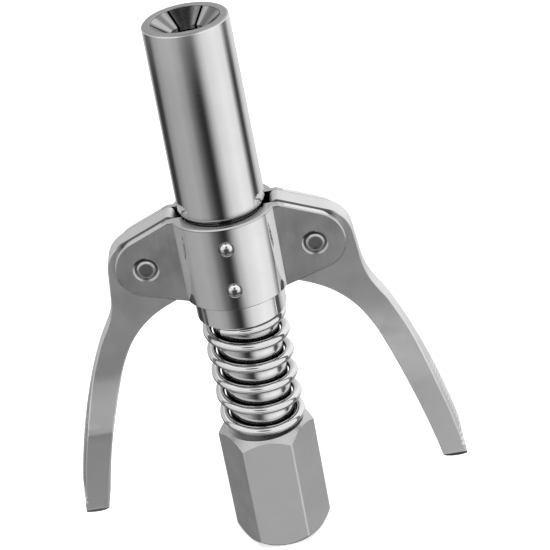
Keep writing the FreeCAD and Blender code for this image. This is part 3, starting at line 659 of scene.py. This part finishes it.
def lowest(name):
    """Height of a frame node's lowest point, in millimetres."""
    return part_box(name)[0].z / MM


def highest(name):
    """Height of a frame node's highest point, in millimetres."""
    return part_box(name)[1].z / MM


def middle_of(name):
    """Middle of a frame node, in millimetres."""
    low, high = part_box(name)
    return (low + high) / 2 / MM


def along(tree, position, axis):
    """One coordinate of a position."""
    return split(tree, position)[axis]


def either_side(tree, position, axis):
    """One coordinate of a position, without its sign."""
    return calculate(tree, "ABSOLUTE", along(tree, position, axis))


def facing_front(tree):
    """How squarely a face lies to the part's Y axis."""
    return either_side(tree, node(tree, "ShaderNodeNewGeometry").outputs["True Normal"], "Y")


def on_right_side(tree, position):
    """One to the right of the part's middle, nothing to its left."""
    return spread(tree, along(tree, position, "X"), 0.0, 1.0)


def beyond_barrel(tree, position):
    """The bracket's ears, outside its polished barrel."""
    return spread(tree, either_side(tree, position, "X"), *barrel_side)


def between_ends(tree, position):
    """The hexagon's flats, between its turned end chamfers."""
    from_middle = calculate(tree, "SUBTRACT", along(tree, position, "Z"), hex_height / 2)
    past = calculate(tree, "ADD", calculate(tree, "ABSOLUTE", from_middle), from_axis(tree, position))
    edge = hex_height / 2 + hex_corner_radius - hex_chamfer
    return spread(tree, past, edge, edge - hex_chamfer_blend)


def nose_rim(tree, position):
    """The flat rim of the sleeve's nose."""
    rim = cad_high.z / MM
    return spread(tree, along(tree, position, "Z"), *(rim - depth for depth in nose_rim_depth))


def lever_sides(tree, position):
    """The levers' flat sides, which lie square to the part's Y axis."""
    return spread(tree, facing_front(tree), *lever_side_facing)


def pin_face(tree, position):
    """The sunk middle of a lever pin's end."""
    return spread(tree, from_axis(tree, position), *pin_face_radius)


def dowel_middle(tree, position):
    """The middle of a dowel's domed end, painted dark as a painted reflection."""
    return spread(tree, from_axis(tree, position), *dowel_dark_radius)


def from_pin(tree, position, pin):
    """Sideways offset from the middle of a cross pin, and its length."""
    offset = vector_math(tree, "SUBTRACT", position, tuple(middle_of(pin)))
    flat = vector_math(tree, "MULTIPLY", offset, (1.0, 0.0, 1.0))
    return flat, vector_math(tree, "LENGTH", flat, output="Value")


def ring(tree, away, inner, outer):
    """Share that is one between two distances."""
    inside = spread(tree, away, outer + ring_softness, outer)
    return multiply(tree, inside, spread(tree, away, inner - ring_softness, inner))


def bracket_stain(tree, position):
    """Painted shade round the pins and dowels, a painted shadow at each countersink's upper left, and
    painted shade on the top face under the sleeve and on the bevels.
    """
    top = highest("lever_bracket")
    on_top = spread(tree, along(tree, position, "Z"), *(top - depth for depth in bracket_top_depth))
    facing = facing_front(tree)
    past_edge = spread(tree, facing, *bevel_facing_low)
    before_flat = spread(tree, facing, *bevel_facing_high)
    bevels = multiply(tree, multiply(tree, past_edge, before_flat), beyond_barrel(tree, position))
    shares = [multiply(tree, on_top, bracket_top_shade), multiply(tree, bevels, bevel_shade)]
    for pin in ("right_lever_pin", "left_lever_pin"):
        flat, away = from_pin(tree, position, pin)
        shares.append(multiply(tree, ring(tree, away, *pin_gap_ring), pin_gap_shade))
        shares.append(multiply(tree, ring(tree, away, *countersink_ring), countersink_shade))
        lean = vector_math(tree, "DOT_PRODUCT", flat, countersink_dark_way, output="Value")
        upper_left = spread(tree, calculate(tree, "DIVIDE", lean, away), *countersink_dark_angle)
        shares.append(multiply(tree, ring(tree, away, *countersink_dark_ring), upper_left))
    for dowel in ("front_upper_dowel", "front_lower_dowel"):
        away = from_pin(tree, position, dowel)[1]
        shares.append(multiply(tree, ring(tree, away, *dowel_ring), dowel_shade))
    dark = shares[0]
    for share in shares[1:]:
        dark = calculate(tree, "MAXIMUM", dark, share)
    return dark


def sleeve_stain(tree, position):
    """Painted shade round the foot of the sleeve."""
    foot = lowest("nose_sleeve")
    near_foot = spread(tree, along(tree, position, "Z"), *(foot + rise for rise in sleeve_foot_height))
    return multiply(tree, near_foot, sleeve_foot_shade)


def funnel_streaks(tree, position):
    """Painted reflection: dark bands that run down the jaws' funnel."""
    outwards = vector_math(tree, "NORMALIZE", across_axis(tree, position))
    counted = vector_math(tree, "MULTIPLY", outwards, (funnel_streak_count,) * 3)
    streaks = faded_noise(tree, counted, funnel_streak_fade, detail=0.0, smooth=True)
    return multiply(tree, streaks, funnel_band_shade)


def lever_stain(tree, position):
    """Painted shade along the levers' edges between the ears, and on the right lever's tip."""
    height = along(tree, position, "Z")
    pivot = middle_of("right_lever_pin")
    at_side = spread(tree, either_side(tree, position, "Y"), *lever_side_depth)
    across = either_side(tree, position, "X")
    in_ears = spread(tree, across, *(pivot.x + reach for reach in between_ears))
    crown = spread(tree, height, *(pivot.z + rise for rise in above_pivot))
    shaded_sides = multiply(tree, multiply(tree, at_side, crown), in_ears)
    tip = spread(tree, height, *(lowest("right_lever") + rise for rise in tip_height))
    altered = multiply(tree, multiply(tree, tip, on_right_side(tree, position)), tip_shade)
    return calculate(tree, "MAXIMUM", shaded_sides, altered)


def lever_satin(tree, position, marks):
    """Satin sides of the levers, with a painted highlight where they thicken into the grips, and on the
    right grip.
    """
    tone, roughness, height = satin_finish(tone=0.64, roughness=0.32)(tree, position, marks)
    below = calculate(tree, "SUBTRACT", middle_of("right_lever_pin").z, along(tree, position, "Z"))
    left_begun = spread(tree, below, *left_band_start, smooth=True)
    left = multiply(tree, left_begun, spread(tree, below, *left_band_end))
    right_begun = spread(tree, below, *right_band_start, smooth=True)
    right = multiply(tree, right_begun, spread(tree, below, *right_band_end, new_low=right_grip_highlight))
    in_front = spread(tree, along(tree, position, "Y"), 0.0, -1.0)
    gain = multiply(tree, mix_grey(tree, on_right_side(tree, position), left, right), in_front)
    return mix_grey(tree, gain, tone, band_highlight_tone), roughness, height


# Springs

def make_coil_tree():
    """Tree that winds a round wire; the end turns lie closer than the others."""
    steps_in_turn = 48
    wire_sides = 28
    tree = bpy.data.node_groups.new("wound_wire", "GeometryNodeTree")
    for label in (
        "Coil Radius", "Wire Radius", "Turns", "Closed Turns",
        "Closed Pitch", "Rise", "Bottom", "Start Angle",
    ):
        tree.interface.new_socket(name=label, in_out="INPUT", socket_type="NodeSocketFloat")
    tree.interface.new_socket(name="Finish", in_out="INPUT", socket_type="NodeSocketMaterial")
    tree.interface.new_socket(name="Wire", in_out="OUTPUT", socket_type="NodeSocketGeometry")
    given = node(tree, "NodeGroupInput").outputs
    spiral = node(tree, "GeometryNodeCurveSpiral")
    spiral.inputs["Resolution"].default_value = steps_in_turn
    spiral.inputs["Height"].default_value = 1.0
    for label in ("Start Radius", "End Radius"):
        feed(tree, spiral.inputs[label], given["Coil Radius"])
    feed(tree, spiral.inputs["Rotations"], given["Turns"])
    across, along_y, share = split(tree, node(tree, "GeometryNodeInputPosition").outputs[0])
    closed_share = calculate(tree, "DIVIDE", given["Closed Turns"], given["Turns"])
    open_share = calculate(tree, "SUBTRACT", 1.0, closed_share)
    closed_rise = multiply(tree, given["Closed Pitch"], given["Turns"])
    extra_rise = calculate(tree, "SUBTRACT", given["Rise"], closed_rise)
    climb = spread(tree, share, closed_share, open_share)
    height = multiply(tree, share, closed_rise)
    height = calculate(tree, "MULTIPLY_ADD", climb, extra_rise, height)
    height = calculate(tree, "ADD", height, given["Bottom"])
    placed = node(tree, "ShaderNodeCombineXYZ")
    for label, value in (("X", across), ("Y", along_y), ("Z", height)):
        feed(tree, placed.inputs[label], value)
    moved = node(tree, "GeometryNodeSetPosition")
    feed(tree, moved.inputs["Geometry"], spiral.outputs["Curve"])
    feed(tree, moved.inputs["Position"], placed.outputs[0])
    section = node(tree, "GeometryNodeCurvePrimitiveCircle")
    section.inputs["Resolution"].default_value = wire_sides
    feed(tree, section.inputs["Radius"], given["Wire Radius"])
    wire = node(tree, "GeometryNodeCurveToMesh")
    feed(tree, wire.inputs["Curve"], moved.outputs["Geometry"])
    feed(tree, wire.inputs["Profile Curve"], section.outputs["Curve"])
    wire.inputs["Fill Caps"].default_value = True
    turned = node(tree, "GeometryNodeTransform")
    feed(tree, turned.inputs["Geometry"], wire.outputs["Mesh"])
    angle = node(tree, "ShaderNodeCombineXYZ")
    feed(tree, angle.inputs["Z"], given["Start Angle"])
    feed(tree, turned.inputs["Rotation"], angle.outputs[0])
    smooth = node(tree, "GeometryNodeSetShadeSmooth")
    feed(tree, smooth.inputs["Geometry"], turned.outputs["Geometry"])
    real = node(tree, "GeometryNodeRealizeInstances")
    feed(tree, real.inputs["Geometry"], smooth.outputs["Geometry"])
    painted = node(tree, "GeometryNodeSetMaterial")
    feed(tree, painted.inputs["Geometry"], real.outputs["Geometry"])
    feed(tree, painted.inputs["Material"], given["Finish"])
    result = node(tree, "NodeGroupOutput")
    feed(tree, result.inputs["Wire"], painted.outputs["Geometry"])
    return tree


def grow(name, tree, values):
    """Mesh object that a node tree makes from named values; the modifier doesn't stay on it."""
    seed = bpy.data.objects.new(name + "_seed", bpy.data.meshes.new(name + "_seed"))
    bpy.context.scene.collection.objects.link(seed)
    modifier = seed.modifiers.new("grow", "NODES")
    modifier.node_group = tree
    for item in tree.interface.items_tree:
        if item.item_type == "SOCKET" and item.in_out == "INPUT":
            modifier[item.identifier] = values[item.name]
    shown = seed.evaluated_get(bpy.context.evaluated_depsgraph_get())
    mesh = bpy.data.meshes.new_from_object(shown)
    mesh.name = name
    bpy.data.objects.remove(seed)
    piece = bpy.data.objects.new(name, mesh)
    bpy.context.scene.collection.objects.link(piece)
    return piece


coil_tree = make_coil_tree()


def wind_spring(
    name, cad_node, body, finish, wire, turns, closed_turns, closed_pitch,
    start=0.0,
):
    """Spring wound in the place of a frame node, which it hides, and made to move with a body."""
    low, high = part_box(cad_node)
    values = {
        "Coil Radius": (high.x - low.x) / 2 - wire,
        "Wire Radius": wire,
        "Turns": turns,
        "Closed Turns": closed_turns,
        "Closed Pitch": closed_pitch,
        "Rise": high.z - low.z - 2 * wire,
        "Bottom": low.z + wire,
        "Start Angle": start,
        "Finish": finish,
    }
    spring = grow(name, coil_tree, values)
    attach(spring, body)
    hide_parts(cad_node)
    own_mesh(spring)
    return spring


def dress(names, material):
    """Gives frame nodes a finish."""
    for name in names:
        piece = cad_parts[name]
        piece.data.materials.clear()
        piece.data.materials.append(material)


make_camera()
make_world()
make_floor()
make_lamp()

sleeve_chrome = metal(
    "sleeve_chrome", turned_finish(tone=0.80, roughness=0.04),
    turned_finish(tone=0.41, roughness=0.34, spacing=0.26, depth=3.0), nose_rim, sleeve_stain,
    recess_shading=0.0, shade_factor=0.15,
)
# The stem's painted shade is strong: dark bands painted on the stem above each turn of the spring
stem_chrome = metal(
    "stem_chrome", turned_finish(tone=0.88, roughness=0.07),
    reach=0.0016, start=0.96, full=0.44, recess_shading=1.0, shade_factor=0.09,
)
collar_chrome = metal("collar_chrome", turned_finish(tone=0.84, roughness=0.05), recess_shading=0.2)
bracket_steel = metal(
    "bracket_steel", turned_finish(tone=0.82, roughness=0.08),
    satin_finish(tone=0.86, roughness=0.24, depth=0.3), beyond_barrel, bracket_stain,
    edge_gain=1.05, recess_shading=0.2, shade_factor=0.12,
)
lever_steel = metal(
    "lever_steel", turned_finish(tone=0.79, roughness=0.36), lever_satin, lever_sides, lever_stain,
    edge_gain=1.1, recess_shading=0.4, shade_factor=0.20,
)
hex_steel = metal(
    "hex_steel", turned_finish(tone=0.56, roughness=0.25),
    satin_finish(tone=0.76, roughness=0.44, grain=(3.0, 3.0, 0.12)), between_ends,
    recess_shading=0.1,
)
# The jaws carry painted reflection bands and painted shade in their recesses
jaw_steel = metal(
    "jaw_steel", turned_finish(tone=0.48, roughness=0.20, spacing=0.08, depth=1.5),
    painted_darkening=funnel_streaks, recess_shading=0.9, shade_factor=0.10,
)
inner_steel = metal("inner_steel", turned_finish(tone=0.48, roughness=0.25))
# Painted shade on the spring's wire where it lies close to the stem and to its other turns
spring_chrome = metal(
    "spring_chrome", turned_finish(tone=0.80, roughness=0.05),
    reach=0.0012, start=0.66, full=0.36, recess_shading=0.8, shade_factor=0.10,
)
spring_wire = metal("spring_wire", turned_finish(tone=0.55, roughness=0.20))
ball_steel = metal("ball_steel", turned_finish(tone=0.80, roughness=0.06))
black_rubber = soft_material("black_rubber", (0.020, 0.020, 0.020), roughness=0.40, grain=0.12)
grey_rubber = soft_material("grey_rubber", (0.17, 0.17, 0.17), roughness=0.55, grain=0.12)
gasket_fibre = soft_material("gasket_fibre", (0.33, 0.10, 0.06), roughness=0.70, grain=0.20)

dress(["nose_sleeve"], sleeve_chrome)
dress(["stem"], stem_chrome)
dress(["lever_bracket"], bracket_steel)
dress(["spring_collar"], collar_chrome)
dress(["right_lever", "left_lever"], lever_steel)
dress(["hex_adapter"], hex_steel)
dress(["jaw_carrier", "seal_holder", "check_seat"], inner_steel)
dress(["check_ball"], ball_steel)
dress(["carrier_wiper_ring", "carrier_seal_ring", "holder_ring"], black_rubber)
dress(["nose_seal"], grey_rubber)
dress(["inlet_gasket"], gasket_fibre)
dress(["jaw_" + str(number) for number in range(1, 7)], jaw_steel)

# Pins and dowels lie across the part, so each has its pattern turned round its own axis
cross_turn = (math.pi / 2, 0, 0)
pin_rim = turned_finish(tone=0.60, roughness=0.30)
# The sunk middles of the pin ends are painted dark: a painted reflection
pin_middle = turned_finish(tone=0.24, roughness=0.30)
dome = turned_finish(tone=0.90, roughness=0.08)
# The middles of the dowels' domes are painted dark: a painted reflection
dome_middle = turned_finish(tone=0.12, roughness=0.25)
pin_finishes = (pin_rim, pin_middle, pin_face)
dowel_finishes = (dome, dome_middle, dowel_middle)
cross_pins = {
    "right_lever_pin": pin_finishes,
    "left_lever_pin": pin_finishes,
    "front_upper_dowel": dowel_finishes,
    "front_lower_dowel": dowel_finishes,
    "back_upper_dowel": dowel_finishes,
    "back_lower_dowel": dowel_finishes,
}
for pin, (outer, inner, zone) in cross_pins.items():
    low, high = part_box(pin)
    middle = (low + high) / 2
    dress([pin], metal(pin + "_steel", outer, inner, zone, recess_shading=0.0, centre=middle, turn=cross_turn))

main_wire = wind_spring(
    "main_spring_wire", "main_spring", "stem_body", spring_chrome,
    wire=0.85 * MM, turns=5.63, closed_turns=0.48, closed_pitch=1.73 * MM,
    start=math.radians(104),
)
seal_wire = wind_spring(
    "seal_spring_wire", "seal_spring", "bracket_body", spring_wire,
    wire=0.30 * MM, turns=4.5, closed_turns=0.75, closed_pitch=0.65 * MM,
)
check_wire = wind_spring(
    "check_spring_wire", "check_spring", "seal_body", spring_wire,
    wire=0.13 * MM, turns=4.0, closed_turns=0.75, closed_pitch=0.31 * MM,
)

bpy.context.scene.view_settings.view_transform = "Standard"
